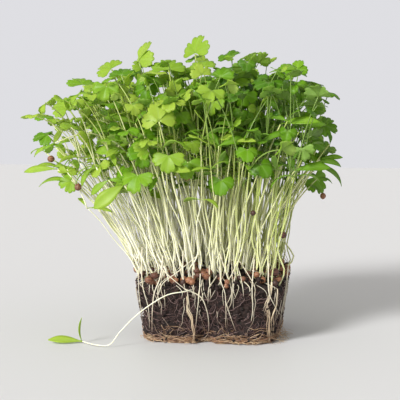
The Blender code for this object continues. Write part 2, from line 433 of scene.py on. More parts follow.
for number in range(RIGHT_WISP_COUNT):
    angle, lift = radians(between(-42, -2)), between(0.4, 5) * MM
    reach, sway, line = between(2, 9) * MM, between(0, 6.3), []
    for t in shares(10):
        height = max(0.3 * MM, lift * (1 - t) + 0.8 * MM * sin(4 * t + sway))
        line.append(wall_point(angle + 0.05 * sin(3 * t + sway), height, reach * t))
    add_strand(fringe, line, between(0.08, 0.14) * MM, 4, between(0.4, 1), 0.6, (0.4, 0.9))
fringe.piece("foot_fringe", felt_finish, "root_felt")

# Roots down the sides. Cream roots that grew down between the soil and the punnet's wall,
# mauve-brown towards the foot, with a fine brown web of side roots between them. Some run
# on up into the stems of the seedlings that stand at the very rim.
ROOT_FOOT = (0.15, 0.095, 0.085, 1)
ROOT_MIDDLE = (0.33, 0.24, 0.18, 1)
ROOT_TOP = (0.72, 0.67, 0.52, 1)
WEB_DARK = (0.045, 0.017, 0.014, 1)
WEB_MIDDLE = (0.15, 0.075, 0.070, 1)
WEB_PALE = (0.40, 0.28, 0.26, 1)
# Each side: from one angle to another, how many roots and web strands, and its solids.
SIDES = {
    "front": (-135, -45, 9, 330, ["root_1", "root_2", "root_3"]),
    "right": (-45, 45, 15, 285, ["root_4"]),
    "back": (45, 135, 16, 304, ["root_5"]),
    "left": (135, 225, 15, 285, ["root_6"]),
}
ROOT_STEPS = 18
WEB_STEPS = 11
# Roots that stand out on the front: (x, height) in mm down the wall, then thickness in mm.
FRONT_ROOTS = [
    ([(-31.6, 52), (-24, 42), (-17, 36), (-11.4, 31.5)], 0.5),
    ([(-24, 49), (-24.9, 38), (-28.4, 28), (-29.7, 16), (-30, 6)], 0.6),
    ([(-13, 52), (-12.6, 40), (-11.4, 31.5)], 0.5),
    ([(-11.4, 31.5), (-3.2, 27.5), (0, 20.5), (1, 12.4), (0, 5), (-4, 1.2)], 0.42),
    ([(-3.2, 40), (-3.6, 30), (-5, 18), (-6, 9)], 0.42),
    ([(7, 44), (8, 36), (10.3, 28), (10.3, 10)], 0.45),
    ([(10.3, 25), (13, 16), (15.6, 8)], 0.36),
    ([(25.6, 48), (24.8, 34), (24.9, 21), (24, 14)], 0.45),
    ([(33, 46), (33.4, 31), (36, 23), (38.5, 15)], 0.5),
    ([(43, 40), (41, 26), (39, 16), (40, 7)], 0.45),
    ([(-36, 53), (-35, 34), (-31.8, 20), (-31.5, 8)], 0.45),
    ([(-38, 48), (-37.4, 30), (-36, 12)], 0.36),
]
WHITE_ABOVE = 40.0 * MM


def front_point(x, z, out):
    """The point of the front face at this x and height, out metres in front of the soil."""
    angle = -pi / 2
    for _ in range(6):
        angle += (x - block_radius(angle, block_half(z)) * cos(angle)) / BASE_HALF
    above = max(0, z - SOIL_HEIGHT)
    return wall_point(angle, min(z, SOIL_HEIGHT), out) + Vector((0, 0.3 * above, above))


def smooth_route(points, per_span):
    found = []
    for i in range(len(points) - 1):
        before, beyond = points[max(i - 1, 0)], points[min(i + 2, len(points) - 1)]
        here, after = points[i], points[i + 1]
        for step in range(per_span):
            t = step / per_span
            bend = (2 * before - 5 * here + 4 * after - beyond) * t * t
            twist = (3 * here - before - 3 * after + beyond) * t**3
            found.append((2 * here + (after - before) * t + bend + twist) / 2)
    return found + [points[-1]]


def wall_root(start_angle, z_top, z_foot, drift, sway, out):
    """The line of a root that runs down the side of the block."""
    line = []
    for t in shares(ROOT_STEPS):
        z = z_top + (z_foot - z_top) * t
        wobble = 0.022 * sin(6 * t + sway) + 0.011 * sin(15 * t + 2 * sway)
        angle = start_angle + drift * t + wobble * min(1, 3 * t)
        lean = out * MM + 0.5 * MM * sin(4 * t + sway)
        line.append(wall_point(angle, z, lean))
    return line


def root_marks(line):
    """How white a root is at its two ends: white at the rim, mauve-brown at the foot."""
    return line[0].z / WHITE_ABOVE, line[-1].z / WHITE_ABOVE


wall_finish = root_finish("wall_root", ROOT_FOOT, ROOT_MIDDLE, ROOT_TOP)
web_finish = root_finish("web_root", WEB_DARK, WEB_MIDDLE, WEB_PALE)
for side_name, (from_angle, to_angle, count, web_count, nodes) in SIDES.items():
    roots = Growth()
    for number in range(count):
        share = (number + between(0.1, 0.9)) / count
        angle = radians(from_angle + (to_angle - from_angle) * share)
        z_top, z_foot = between(18, 34) * MM, chance.choice((2, 4, 9, 15)) * MM
        line = wall_root(angle, z_top, z_foot, between(-0.16, 0.16), between(0, 6.3), 0.6)
        radius, shade = between(0.16, 0.34) * MM, between(0.1, 0.8)
        add_strand(roots, line, radius, 5, shade, 0.5, root_marks(line))
    if side_name == "front":
        for route, thick in FRONT_ROOTS:
            line = smooth_route([front_point(x * MM, z * MM, 1.3 * MM) for x, z in route], 6)
            add_strand(roots, line, 0.8 * thick * MM, 7, 0.85, 0.4, root_marks(line))
    roots.piece(f"wall_roots_{side_name}", wall_finish, "root", nodes)
    web = Growth()
    for number in range(web_count):
        angle = radians(between(from_angle, to_angle))
        z, length = between(2, 32) * MM, between(4, 13) * MM
        heading, bend = between(-3.6, 0.5), between(-0.8, 0.8)
        out, line = between(0.1, 0.75) * MM, []
        for step in range(WEB_STEPS):
            line.append(wall_point(angle, z, out + 0.15 * MM * sin(step + number)))
            heading += bend * between(-0.6, 1.6)
            angle += cos(heading) * length / WEB_STEPS / TOP_HALF
            z = min(max(z + sin(heading) * length / WEB_STEPS, 0.8 * MM), 33 * MM)
        tone = between(-0.45, 0.5)
        radius, shade = between(0.07, 0.15) * MM, between(0.5, 1)
        add_strand(web, line, radius, 4, shade, 0.6, (tone, tone + 0.2))
    web.piece(f"root_web_{side_name}", web_finish, "root")

# Rim tangle. White stem feet and loose roots that cross each other just above the soil and
# hang down over its edge.
TANGLE_COUNT = 54
tangle = Growth()
for number in range(TANGLE_COUNT):
    angle = between(-pi, pi) if number % 2 else radians(between(-140, -40))
    across = angle + chance.gauss(0, 0.22)
    high = wall_point(angle, SOIL_HEIGHT, -between(6, 15) * MM)
    high += Vector((0, 0, between(2, 17) * MM))
    low = wall_point(across, between(29, 34) * MM, 0.7 * MM)
    middle = (high + low) / 2 + Vector((cos(angle), sin(angle), 0)) * between(0.5, 2) * MM
    lower = wall_point(across + chance.gauss(0, 0.03), low.z - between(3, 12) * MM, 0.3 * MM)
    line = smooth_route([high, middle, low, lower], 6)
    add_strand(tangle, line, between(0.22, 0.44) * MM, 6, between(0.45, 1), 0.35, (1.0, 0.4))
tangle.piece("rim_tangle", wall_finish, "root")

# Root bundles. Where several roots met they ran down together as tan ropes: one near the
# middle of the front, two at its right corner, one on the left and one at the back.
BUNDLE_DARK = (0.20, 0.13, 0.085, 1)
BUNDLE_TAN = (0.42, 0.31, 0.20, 1)
BUNDLE_PALE = (0.70, 0.60, 0.42, 1)
# Each bundle: angle in degrees, drift, height of its top in mm, how many roots.
BUNDLES = [
    (-104, 0.05, 31, 5), (-48, 0.03, 36, 4), (-43, 0.02, 33, 3), (158, 0.04, 32, 4), (78, -0.05, 33, 5),
]
bundle = Growth()
for angle, drift, top, count in BUNDLES:
    for number in range(count):
        turn = radians(angle + between(-0.9, 0.9))
        z_foot, sway = between(1, 5) * MM, angle + between(0, 0.9)
        z_top = (top - between(0, 5)) * MM
        line = wall_root(turn, z_top, z_foot, drift + between(-0.02, 0.02), sway, 0.9)
        add_strand(bundle, line, between(0.22, 0.42) * MM, 6, between(0.5, 1), 0.7, (0.7, 0.1))
bundle_finish = root_finish("bundle_root", BUNDLE_DARK, BUNDLE_TAN, BUNDLE_PALE)
bundle.piece("root_bundles", bundle_finish, "root")

# Felt wisps. Golden roots of the felt that climb the foot of the walls and run along them,
# pressed flat by the punnet.
WISP_COUNT = 130
wisps = Growth()
for number in range(WISP_COUNT):
    angle, z = between(0, FULL_TURN), (1.6 + 8 * between(0, 1) ** 2) * MM
    way = chance.choice((-1, 1)) * between(0.02, 0.07)
    route = []
    for step in range(5):
        route.append(wall_point(angle + step * way, max(1.4 * MM, z + chance.gauss(0, 1.3) * MM), 0.45 * MM))
    line = smooth_route(route, 5)
    add_strand(wisps, line, between(0.11, 0.22) * MM, 5, between(0.1, 0.9), 0.4, (0.5, 0.2))
wisps.piece("felt_wisps", felt_finish, "root_felt")

# Seed husks. The empty halves of coriander seed, ribbed and pointed, dry and red-brown;
# they lie on the soil between the stem feet, and a few were carried up by the leaves.
HUSK_RIBS = 7
HUSK_AROUND = 28
HUSK_ROWS = 9
HUSK_RADIUS = 1.9 * MM
LITTER_COUNT = 210
HUSK_DARK = (0.035, 0.014, 0.010, 1)
HUSK_RED = (0.125, 0.046, 0.028, 1)
HUSK_TAN = (0.34, 0.155, 0.075, 1)


def husk_finish():
    """Dry husk: red-brown, lighter on its ribs, with a slight shine."""
    finish, shader = new_finish("dry_husk", Roughness=0.55)
    mottle = grain(finish, 500.0, 4.0)
    mix = scaled(finish, 0.35)
    lift = scaled(finish, 0.3)
    ramp = colour_ramp(finish, [(0.15, HUSK_DARK), (0.6, HUSK_RED), (1.0, HUSK_TAN)])
    link_nodes(finish, [
        (mottle, "Fac", mix, 0),
        (read_mark(finish, "shade"), "Fac", mix, 2),
        (read_mark(finish, "vein"), "Fac", lift, 0),
        (mix, "Value", lift, 2),
        (lift, "Value", ramp, "Fac"),
        (ramp, "Color", shader, "Base Color"),
    ])
    emboss(finish, shader, mottle, 0.4, 0.0002)
    return finish


def add_husk(growth, place, radius, turn, shade):
    """One husk: a ribbed, slightly egg-shaped shell with a beak at the top."""
    rings = []
    for row in range(1, HUSK_ROWS):
        tilt = pi * row / HUSK_ROWS
        ring = []
        for step in range(HUSK_AROUND):
            angle = FULL_TURN * step / HUSK_AROUND
            rib = cos(HUSK_RIBS * angle)
            reach = radius * sin(tilt) * (1 + 0.05 * rib)
            spot = Vector((reach * cos(angle), reach * sin(angle), radius * 1.12 * cos(tilt)))
            ring.append(growth.add(place + turn @ spot, shade, row / HUSK_ROWS, 0.0, 0.5 + 0.5 * rib))
        rings.append(ring)
    beak = growth.add(place + turn @ Vector((0, 0, radius * 1.45)), shade)
    seat = growth.add(place + turn @ Vector((0, 0, -radius * 1.1)), shade)
    for step in range(HUSK_AROUND):
        after = (step + 1) % HUSK_AROUND
        for upper, lower in zip(rings, rings[1:]):
            growth.faces.append((upper[step], lower[step], lower[after], upper[after]))
        growth.faces.append((beak, rings[0][step], rings[0][after]))
        growth.faces.append((seat, rings[-1][after], rings[-1][step]))


husk_brown = husk_finish()
for number in range(1, 6):
    low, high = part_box(f"husk_{number}")
    shell = Growth()
    turn = Euler((between(0.6, 2.2), between(-1, 1), between(0, 6.3))).to_matrix()
    add_husk(shell, (low + high) / 2 - Vector((0, 0, 0.4 * MM)), HUSK_RADIUS, turn, between(0.2, 0.5))
    shell.piece(f"husk_shell_{number}", husk_brown, "husk", [f"husk_{number}"])
husk_litter = Growth()
for number in range(LITTER_COUNT):
    angle = between(0, FULL_TURN)
    nearness = between(0.72, 1.0) if number % 3 else between(0.3, 0.8)
    size = between(1.3, 2.0) * MM
    turn = tumbled()
    heap = between(0.1, 1.4) * size + between(0, 1) ** 2 * 4.5 * MM
    spot = on_ground(angle, block_radius(angle, TOP_HALF) * nearness, heap)
    add_husk(husk_litter, spot, size, turn, between(-0.25, 0.6))
husk_litter.piece("husk_litter", husk_brown, "husk")
# Husks held by the seedlings or lying at the rim: place in mm, radius in mm, how light.
CARRIED_HUSKS = [
    ((-88.6, -31, 101.5), 1.9, 0.75), ((-71.7, -39, 86.7), 1.9, 0.6), ((-52.5, -16.5, 139.6), 2.0, 0.5),
    ((-9.5, -49.5, 93.4), 1.5, 0.9), ((61.4, 15.6, 77.8), 1.7, 0.9), ((25.4, -39.2, 73.7), 1.5, -0.1),
    ((41.3, -31.2, 60.8), 1.9, 0.0), ((-44.9, -13.6, 42.5), 1.7, 0.7), ((-42.9, -15.3, 37.5), 1.9, 0.7),
    ((36.9, -31, 40), 2.3, 0.1), ((-3, -30, 39), 2.0, 0.6), ((-31.9, -42, 36), 2.0, 0.6),
    ((-9.6, -41.5, 36.2), 1.9, 0.95),
]
carried = Growth()
for place, radius, shade in CARRIED_HUSKS:
    add_husk(carried, Vector(place) * MM, radius * MM, tumbled(), shade * 0.6)
carried.piece("carried_husks", husk_brown, "husk")

# Stems. Long weak stems, about a millimetre thick, nearly white where they leave the soil
# and green towards the light; the ones near the rim fan outwards.
STEM_WHITE = (0.80, 0.79, 0.62, 1)
STEM_PALE = (0.66, 0.68, 0.36, 1)
STEM_GREEN = (0.38, 0.46, 0.105, 1)
STEM_DARK = (0.17, 0.27, 0.05, 1)
OUTER_COUNT = 22
STEM_STEPS = 22
STEM_INSET = 0.5 * MM
LEFT_LEAN = 0.24
RIGHT_LEAN = 0.12


def stem_finish():
    """Stem tissue: translucent, white-green at the foot and yellow-green above."""
    finish, shader = new_finish(
        "stem_tissue", Roughness=0.38, Subsurface_Weight=0.35, Subsurface_Radius=(1.0, 1.0, 0.5),
        Subsurface_Scale=0.001,
    )
    place = add_node(finish, "TexCoord")
    split = add_node(finish, "SeparateXYZ")
    streak = grain(finish, 60.0, 3.0)
    rise = scaled(finish, 5.0)
    vary = scaled(finish, 0.14)
    ramp = colour_ramp(finish, [(0.36, STEM_WHITE), (0.60, STEM_PALE), (0.82, STEM_GREEN), (1.0, STEM_DARK)])
    link_nodes(finish, [
        (place, "Object", split, "Vector"),
        (split, "Z", rise, 0),
        (read_mark(finish, "shade"), "Fac", rise, 2),
        (streak, "Fac", vary, 0),
        (rise, "Value", vary, 2),
        (vary, "Value", ramp, "Fac"),
        (ramp, "Color", shader, "Base Color"),
    ])
    emboss(finish, shader, streak, 0.2, 0.0002)
    return finish


def stem_line(foot, tip, sway, kink=Vector((0, 0, 0))):
    """A stem's line: up out of the soil with a small kink, then leaning out to its tip."""
    rise = tip - foot
    lean = LEFT_LEAN if rise.x < 0 else RIGHT_LEAN
    first = foot + Vector((lean * rise.x, 0.22 * rise.y, 0.36 * rise.z))
    second = foot + Vector(((lean + 0.4) * rise.x, 0.62 * rise.y, 0.74 * rise.z))
    line = []
    for t in shares(STEM_STEPS):
        a, b, c, d = (1 - t) ** 3, 3 * t * (1 - t) ** 2, 3 * t * t * (1 - t), t**3
        point = foot * a + first * b + second * c + tip * d
        wave = sin(pi * t)
        swing = Vector((sin(5 * t + sway), cos(4 * t + 1.7 * sway), 0))
        point += swing * (1.3 + sin(3 * sway)) * MM * wave
        ripple = Vector((sin(12 * t + 2.3 * sway), cos(10 * t + sway), 0))
        point += ripple * 1.1 * MM * wave * (1 - t)
        point += kink * exp(-(((t - 0.13) / 0.1) ** 2))
        line.append(point)
    return line


stem_green = stem_finish()
outer_tips = []
for number in range(1, OUTER_COUNT + 1):
    low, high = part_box(f"stem_{number:02d}")
    middle = (low + high) / 2
    outer = Vector((high.x if middle.x > 0 else low.x, high.y if middle.y > 0 else low.y, high.z))
    foot = Vector((low.x if middle.x > 0 else high.x, low.y if middle.y > 0 else high.y, low.z - 2.5 * MM))
    inset_x, inset_y = copysign(STEM_INSET, middle.x), copysign(STEM_INSET, middle.y)
    tip = outer - Vector((inset_x, inset_y, 0.3 * MM))
    stem = Growth()
    line = stem_line(foot, tip, number * 1.3)
    add_strand(stem, line, 0.58 * MM, 8, between(0.0, 0.15), 0.72)
    stem.piece(f"outer_stem_{number:02d}", stem_green, "stem", [f"stem_{number:02d}"])
    outer_tips.append((tip, (line[-1] - line[-3]).normalized()))

# Leaves. Long smooth seed leaves in pairs, and above them the first true leaves, fan-shaped
# with three lobes or cut into three leaflets, round-toothed; thin, soft and translucent,
# paler underneath.
# The lightest leaf colour serves both young leaves and the painted light on leaves where the light falls.
LEAF_YOUNG_AND_LIT = (0.48, 0.63, 0.085, 1)
LEAF_MID = (0.20, 0.43, 0.016, 1)
LEAF_DEEP = (0.052, 0.17, 0.012, 1)
LEAF_UNDER = (0.52, 0.66, 0.26, 1)
LEAF_VEIN = (0.50, 0.68, 0.24, 1)
LEAF_GLOW = (0.58, 0.76, 0.10, 1)


def leaf_finish():
    """Leaf tissue: each leaf has its own tone, partly its age and partly painted light, lighter where the
    light falls; its veins are lighter, its underside is paler.
    """
    finish, shader = new_finish("leaf_tissue", Roughness=0.40, Specular_IOR_Level=0.32)
    mottle = grain(finish, 160.0, 4.0)
    vary = scaled(finish, 0.28)
    ramp = colour_ramp(finish, [(0.12, LEAF_DEEP), (0.55, LEAF_MID), (1.0, LEAF_YOUNG_AND_LIT)])
    veined = add_node(finish, "Mix", data_type="RGBA", B=LEAF_VEIN)
    turned = add_node(finish, "Mix", data_type="RGBA", B=LEAF_UNDER)
    weak = scaled(finish, 0.35, "MULTIPLY")
    half = scaled(finish, 0.35, "MULTIPLY")
    glow = add_node(finish, "BsdfTranslucent")
    blend = add_node(finish, "MixShader")
    blend.inputs[0].default_value = 0.52
    lit = add_node(finish, "Mix", data_type="RGBA", Factor=0.62, B=LEAF_GLOW)
    link_nodes(finish, [
        (mottle, "Fac", vary, 0),
        (read_mark(finish, "shade"), "Fac", vary, 2),
        (vary, "Value", ramp, "Fac"),
        (read_mark(finish, "vein"), "Fac", weak, 0),
        (read_mark(finish, "under"), "Fac", half, 0),
        (weak, "Value", veined, "Factor"),
        (half, "Value", turned, "Factor"),
        (ramp, "Color", veined, "A"),
        (veined, "Result", turned, "A"),
        (turned, "Result", shader, "Base Color"),
        (turned, "Result", lit, "A"),
        (lit, "Result", glow, "Color"),
        (shader, "BSDF", blend, 1),
        (glow, "BSDF", blend, 2),
        (blend, "Shader", finish.node_tree.nodes["Material Output"], "Surface"),
    ])
    emboss(finish, shader, mottle, 0.3, 0.0003)
    return finish


LEAF_THICK = 0.2 * MM
FAN_SPREAD = radians(108)
LEAFLET_SPREAD = radians(46)
LEAFLET_APART = radians(78)
STALK_SAG = 0.18


def fan_edge(share):
    """Edge of a fan leaf, share running from -1 to 1 round it: three lobes of three teeth."""
    place = 1.5 * share
    lobe = 1 - 0.36 * (2 * abs(place - round(place))) ** 4 * (1 if abs(place) < 1 else 0.6)
    teeth = 1 - 0.13 * (1 - abs(cos(pi * place * 3)) ** 0.7)
    return lobe * teeth * (1 - 0.16 * share**2)


def leaflet_edge(share):
    """Edge of one leaflet: round-ended, with five round teeth, narrowing to its foot."""
    teeth = 1 - 0.11 * (1 - abs(cos(pi * share * 2.5)) ** 0.7)
    return teeth * (1 - 0.42 * abs(share) ** 2.6)


def bent(x, y, z, bend, length):
    """Bends a flat blade downwards along its length, as an arc of bend radians."""
    if abs(bend) < 1e-3:
        return Vector((x, y, z))
    angle, radius = bend * y / length, length / bend
    return Vector((x, (radius + z) * sin(angle), (radius + z) * cos(angle) - radius))


def close_skins(growth, upper, lower, centres=None):
    """Faces of a blade's two skins, given as rows of points, and the edge that joins them."""
    last = len(upper[0]) - 1
    for rows, flip in ((upper, False), (lower, True)):
        found = []
        for row, after in zip(rows, rows[1:]):
            found += [(row[i], row[i + 1], after[i + 1], after[i]) for i in range(last)]
        if centres:
            found += [(centres[flip], rows[0][i + 1], rows[0][i]) for i in range(last)]
        growth.faces += [tuple(reversed(face)) if flip else face for face in found]
    from_row = 0 if centres else 1
    loops = []
    for rows, centre in zip((upper, lower), centres or (None, None)):
        foot = [centre] if centres else list(rows[0])
        right = [row[last] for row in rows[from_row:]]
        tip = list(reversed(rows[-1][:-1]))
        left = [row[0] for row in reversed(rows[from_row:-1])]
        loops.append(foot + right + tip + left)
    top, under = loops
    for i in range(len(top)):
        after = (i + 1) % len(top)
        growth.faces.append((top[after], top[i], under[i], under[after]))


def add_blade(growth, place, turn, length, edge, spread, bend, pleat, shade, sides, rings):
    """A toothed blade that fans out from its foot, as an upper and a lower skin."""
    skins, centres = [], []
    lobes = 1.5 if spread > 1 else 0.5
    for under in (0, 1):
        drop = -LEAF_THICK * under
        centres.append(growth.add(place + turn @ Vector((0, 0, drop)), shade, 0, under, 1))
        rows = []
        for ring in range(1, rings + 1):
            out = ring / rings
            row = []
            for step in range(sides + 1):
                share = 1 - 2 * step / sides
                reach = (1 + (edge(share) - 1) * out**2) * out * length
                x, y = reach * sin(share * spread), reach * cos(share * spread)
                off = abs(share * lobes - round(share * lobes))
                fold = (off * 2) ** 1.5 * pleat * out * length - 0.09 * out**2 * length
                vein = max(0.0, 1 - off * 10) * (1 - 0.5 * out)
                spot = place + turn @ bent(x, y, drop + fold, bend, length)
                row.append(growth.add(spot, shade, out, under, vein))
            rows.append(row)
        skins.append(rows)
    close_skins(growth, skins[0], skins[1], centres)


def pointed(heading, pitch, roll=0.0):
    """The turn of a leaf that points this way: heading from +X to +Y, pitch above level."""
    level = Matrix.Rotation(radians(heading - 90), 3, "Z")
    raised = level @ Matrix.Rotation(radians(pitch), 3, "X")
    return raised @ Matrix.Rotation(radians(roll), 3, "Y")


def add_fan(growth, place, turn, length, shade, bend, pleat, sides=54, rings=4):
    add_blade(growth, place, turn, length, fan_edge, FAN_SPREAD, bend, pleat, shade, sides, rings)


def add_trefoil(growth, place, turn, length, shade, bend, pleat, sides=26, rings=3):
    """A leaf cut into three leaflets that meet at the stalk, each turned and folded a little."""
    for side in (-1, 0, 1):
        own = turn @ Matrix.Rotation(LEAFLET_APART * side, 3, "Z")
        own = own @ Matrix.Rotation(-0.12 * abs(side), 3, "X")
        size = length * (1.0 if side == 0 else 0.88)
        tone = shade + 0.05 * side
        add_blade(growth, place, own, size, leaflet_edge, LEAFLET_SPREAD, bend, pleat, tone, sides, rings)


def add_seed_leaf(growth, place, turn, length, width, bend, shade, stations, blunt=0.12):
    """A seed leaf: long, smooth-edged, channelled along its middle, arching over."""
    skins = []
    for under in (0, 1):
        rows = []
        for share in shares(stations + 1):
            swell = sin(pi * min(share, 0.995) ** 1.35) ** 0.8
            half = width / 2 * max(blunt, swell)
            row = []
            for side in (1.0, 0.5, 0.0, -0.5, -1.0):
                channel = 0.22 * side * side * half - LEAF_THICK * under
                spot = bent(side * half, share * length, channel, bend, length)
                vein = (1 - abs(side)) ** 2 * (1 - 0.7 * share)
                row.append(growth.add(place + turn @ spot, shade, share, under, vein))
            rows.append(row)
        skins.append(rows)
    close_skins(growth, skins[0], skins[1])


def add_stalk(growth, start, end, radius, shade):
    """A leaf stalk from the stem's top to a true leaf, curving up and over."""
    rise = end - start
    middle = start + rise * 0.5 + Vector((-rise.x, -rise.y, abs(rise.x) + abs(rise.y))) * STALK_SAG
    line = []
    for t in shares(9):
        line.append(start * (1 - t) ** 2 + middle * 2 * t * (1 - t) + end * t * t)
    add_strand(growth, line, radius, 6, shade, 0.7)


leaf_green = leaf_finish()
SLIM_WIDTH = 0.24
WIDE_WIDTH = 0.4
WIDE_SEED_LEAF = 16
# Outer leaves, as in the solids: kind, length in mm, heading, pitch, tone (1 is lightest),
# which is partly the leaf's age and partly painted light, lighter for leaves in the light,
# and how far the blade rolls over towards the light, in degrees.
OUTER_LEAVES = [
    ("trefoil", 9, 185, -5, 0.25, -30), ("fan", 10, 165, 15, 0.7, -40), ("fan", 10, 120, 35, 0.5, 0),
    ("fan", 10, 150, 20, 0.7, -35), ("trefoil", 13, 35, 72, 0.8, 0), ("fan", 11, 100, 45, 0.6, 0),
    ("fan", 12, 75, 76, 0.66, -25), ("fan", 11, 40, 20, 0.5, 25), ("trefoil", 11, 30, 30, 0.45, 20),
    ("trefoil", 8, 70, 65, 0.45, 0), ("fan", 10, 350, 10, 0.25, 30), ("oval", 14, 10, 12, 0.4, 55),
    ("fan", 11, 0, -50, 0.3, 40), ("trefoil", 12, 115, 72, 0.9, -18), ("fan", 10, 270, -60, 0.65, 0),
    ("oval", 21, 208, -32, 0.75, -62), ("trefoil", 9, 270, -60, 0.3, 0), ("oval", 20, 185, 5, 0.75, -50),
    ("oval", 22, 335, 15, 0.5, 50), ("fan", 11, 110, 30, 0.5, 0), ("trefoil", 11, 90, 35, 0.5, 0),
    ("fan", 11, 50, 15, 0.45, 0),
]
for number, ((tip, away), row) in enumerate(zip(outer_tips, OUTER_LEAVES), 1):
    kind, length, heading, pitch, age_and_light, roll = row
    leaf = Growth()
    base = tip + away * 0.5 * MM
    turn = pointed(heading, pitch, roll)
    if kind == "oval":
        width = (WIDE_WIDTH if number == WIDE_SEED_LEAF else SLIM_WIDTH) * length * MM
        add_seed_leaf(leaf, base, turn, length * MM, width, 0.6, age_and_light, 20)
    elif kind == "fan":
        add_fan(leaf, base, turn, length * MM, age_and_light, 0.35, 0.1, 90, 6)
    else:
        add_trefoil(leaf, base, turn, length * MM, age_and_light, 0.35, 0.1, 40, 6)
    leaf.piece(f"outer_leaf_{number:02d}", leaf_green, "leaf", [f"leaf_{number:02d}"])

# Leaning seedlings. The ones at the rim that lean out of the stand at the front and both
# sides; each grows from the soil and carries a pair of seed leaves, or one true leaf.
FAR_OUT = 54 * MM
FOOT_LIMIT = 37 * MM
FOOT_SET = 1.5 * MM
BROAD_WIDTH = 0.3
STRONG_ARCH = 1.45
SOFT_ARCH = 0.8
# Each seedling: top of stem in mm, kind, length in mm, heading, pitch, roll, and tone (1 is
# lightest), partly the leaf's age and partly painted light: higher on the left, where the light falls.
LEANING = [
    ((-42, -50, 107), "oval", 20, 183, 12, -55, 0.6), ((-82, -30, 95), "oval", 20, 188, 38, -24, 0.7),
    ((-74, -35, 87), "oval", 24, 186, 36, -24, 0.7), ((-86, -31, 108), "oval", 15, 200, 10, -35, 0.75),
    ((-79, -34, 96), "oval", 12, 175, 34, -40, 0.7), ((-76, -36, 90), "fan", 8, 195, -10, -60, 0.6),
    ((-36, -53, 95), "fan", 11, 250, -50, 0, 0.5), ((-9, -50, 102), "trefoil", 10, 255, -62, 0, 0.45),
    ((-50, -22, 148), "fan", 9, 80, 40, 0, 0.2), ((15, -44, 122), "fan", 6.5, 300, 20, 50, 0.6),
    ((23, -50, 109), "trefoil", 8, 280, -45, 0, 0.4), ((-78, -40, 121), "oval", 13, 230, -40, -50, 0.9),
    ((-30, -56, 109), "fan", 8, 200, 20, -55, 0.7), ((8, -52, 111), "oval", 18, 20, 25, 50, 0.4),
    ((30, -48, 101), "trefoil", 9, 320, -40, 30, 0.2), ((48, -40, 97), "oval", 20, 350, 20, 50, 0.35),
    ((-60, -42, 99), "oval", 16, 215, -20, -30, 0.65), ((-66, -30, 132), "fan", 9, 170, 10, -55, 0.8),
    ((56, -20, 112), "trefoil", 9, 350, -20, 40, 0.15), ((62, -6, 120), "fan", 9, 0, -10, 40, 0.2),
    ((-97, -10, 104), "oval", 12, 165, 30, -20, 0.7), ((55, 8, 96), "oval", 24, 358, 2, 28, 0.25),
    ((-22, -58, 98), "oval", 17, 330, 15, 50, 0.75), ((-52, -52, 92), "oval", 14, 190, -30, -60, 0.6),
    ((-48, -30, 116), "oval", 17, 30, 20, 40, 0.7), ((-56, -20, 110), "oval", 18, 170, 10, -40, 0.6),
    ((-62, -10, 118), "fan", 8, 140, 30, -30, 0.45), ((-40, -36, 122), "oval", 18, 200, 25, -50, 0.55),
    ((-54, -40, 104), "oval", 16, 10, 25, 30, 0.65), ((-44, -44, 98), "fan", 8, 220, -40, 0, 0.4),
    ((-66, -24, 104), "oval", 15, 160, 30, -30, 0.5), ((-34, -46, 112), "oval", 15, 350, 20, 40, 0.5),
    ((-58, -34, 121), "fan", 7.5, 230, -20, -20, 0.5), ((-47, -50, 108), "oval", 14, 260, 10, -20, 0.8),
    ((50, -34, 118), "oval", 18, 20, 30, 40, 0.3), ((58, -24, 100), "oval", 17, 350, 20, 50, 0.25),
    ((44, -42, 124), "oval", 17, 160, 25, -40, 0.35), ((57, 4, 99), "fan", 7, 20, 25, 50, 0.3),
    ((63, 8, 102), "oval", 12, 30, 82, 70, 0.15), ((58, 10, 88), "oval", 11, 5, 20, 30, 0.3),
    ((38, -30, 126), "oval", 20, 10, 40, 30, 0.35), ((46, -20, 132), "oval", 18, 350, 35, 40, 0.3),
    ((22, -40, 118), "oval", 18, 200, 35, -30, 0.4), ((30, -46, 112), "oval", 17, 5, 40, 35, 0.3),
    ((66, -14, 110), "oval", 12, 60, 60, 70, 0.15),
]
leaning_stems, leaning_leaves = Growth(), Growth()
for tip, kind, length, heading, pitch, roll, age_and_light in LEANING:
    node = Vector(tip) * MM
    x = max(-FOOT_LIMIT, min(FOOT_LIMIT, node.x * 0.46))
    y = max(-FOOT_LIMIT, min(FOOT_LIMIT, node.y * 0.6))
    foot = Vector((x, y, ground(x, y) - FOOT_SET))
    line = stem_line(foot, node, node.z * 900)
    # The stem is painted paler as its leaves' tone rises, so it shares their painted light.
    add_strand(leaning_stems, line, 0.5 * MM, 8, 0.2 - 0.2 * age_and_light, 0.7)
    turn = pointed(heading, pitch, roll)
    if kind == "oval":
        far_out = abs(node.x) > FAR_OUT
        width = (SLIM_WIDTH if far_out else BROAD_WIDTH) * length * MM
        arch = STRONG_ARCH if far_out else SOFT_ARCH
        add_seed_leaf(leaning_leaves, node, turn, length * MM, width, arch, age_and_light, 18)
        twin = pointed(heading + 150, pitch + 40, -roll)
        add_seed_leaf(leaning_leaves, node, twin, length * 0.6 * MM, 0.7 * width, 1.1, age_and_light - 0.15, 14)
    elif kind == "fan":
        add_fan(leaning_leaves, node, turn, length * MM, age_and_light, 0.4, 0.12, 72, 5)
    else:
        add_trefoil(leaning_leaves, node, turn, length * MM, age_and_light, 0.4, 0.12, 32, 5)
leaning_stems.piece("leaning_stems", stem_green, "stem")
leaning_leaves.piece("leaning_leaves", leaf_green, "leaf")


# Stand of inner seedlings. They were sown all over the soil and grow as a dense stand, in
# rows here from front to back: a stem, a pair of seed leaves at its top, and one or two
# stalked true leaves above those. Each row's stems and leaves are two pieces.
ROWS = 8
PER_ROW = 46
CROWN_HEIGHT = 158 * MM
REACH_Y = 61 * MM
SEED_LEAF_SHARE = 0.8
FAN_SHARE = 0.6


def crown_limit(x):
    """The height that the tallest leaf stalks reach, lower towards both sides."""
    return CROWN_HEIGHT - 3.6 * (x + 4 * MM) ** 2


